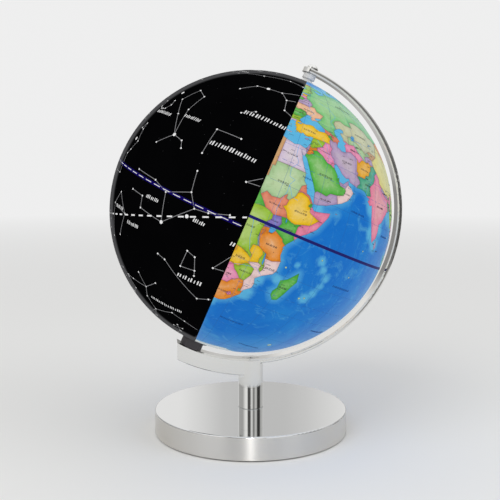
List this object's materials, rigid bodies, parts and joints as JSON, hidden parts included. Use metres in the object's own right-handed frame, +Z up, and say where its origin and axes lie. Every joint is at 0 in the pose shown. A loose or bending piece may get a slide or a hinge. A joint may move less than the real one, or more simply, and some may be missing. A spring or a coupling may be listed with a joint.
{
  "type": "celestial globe",
  "caption": "Illuminated desk globe, half star chart and half world map, turning on a tilted axis in a chromed meridian over a round weighted base.",
  "frame": {"origin": "centre of the base's footprint, on the surface that the globe stands on", "axes": "+Z up; +X towards the side the north end of the polar axis leans to; -Y the front; the meridian lies in the XZ plane"},
  "size_m": [0.21, 0.2001, 0.2647],
  "materials": {
    "shell_plastic": "translucent white moulding",
    "equator_print": "printed film tape",
    "map_print": "laminated political map print",
    "star_print": "laminated black star chart print",
    "bush_plastic": "moulded white",
    "dark_plastic": "fine moulded grain",
    "chrome": "polished plate",
    "screw_steel": "zinc-plated",
    "circuit_board": "solder mask",
    "led": "phosphor",
    "diffuser": "opal",
    "cable": "soft sheath",
    "brass": "machined",
    "ballast_iron": "as cast, painted",
    "plate_plastic": "fine moulded grain",
    "foot_rubber": "foam",
    "chip_black": "epoxy",
    "plug_plastic": "nylon"
  },
  "bodies": {
    "stand": {"meridian_arc": "chrome", "arm": "chrome", "arc_screw": "screw_steel", "arc_pins": "screw_steel", "axis_pin": "screw_steel", "acorn_nut": "chrome", "pivot_spacer": "bush_plastic", "lamp_base": "dark_plastic", "lamp_base_screws": "screw_steel", "lamp_post": "bush_plastic", "led_board": "circuit_board", "led_chips": "led", "led_diffuser": "diffuser", "lamp_cable": "cable", "stem_tube": "chrome", "threaded_nipple": "brass", "nipple_washer": "screw_steel", "nipple_nut": "brass", "base_shell": "chrome", "ballast": "ballast_iron", "base_plate": "plate_plastic", "foot_pad": "foot_rubber", "base_plate_screws": "screw_steel", "driver_board": "circuit_board", "board_parts": "chip_black", "board_screws": "screw_steel", "cable_plug": "plug_plastic", "power_socket": "screw_steel", "socket_tongue": "chip_black", "switch_body": "chip_black"},
    "ball": {"north_hemisphere": "shell_plastic", "south_hemisphere": "shell_plastic", "equator_ring": "shell_plastic", "equator_tape": "equator_print", "day_map_skin": "map_print", "night_chart_skin": "star_print", "north_bush": "bush_plastic", "south_collar": "dark_plastic", "friction_washer": "bush_plastic"},
    "button": {"switch_button": "dark_plastic"}
  },
  "joints": [
    {"name": "globe_spin", "type": "hinge", "parent": "stand", "child": "ball", "pos_m": [0, 0, 0.16], "axis": [0.3987, 0, 0.9171], "continuous": true},
    {"name": "lamp_switch", "type": "slide", "parent": "stand", "child": "button", "axis": [0, -1, 0], "range_m": [0, 0.0015], "stiffness_N_per_m": 400, "springref_m": -0.0005}
  ]
}
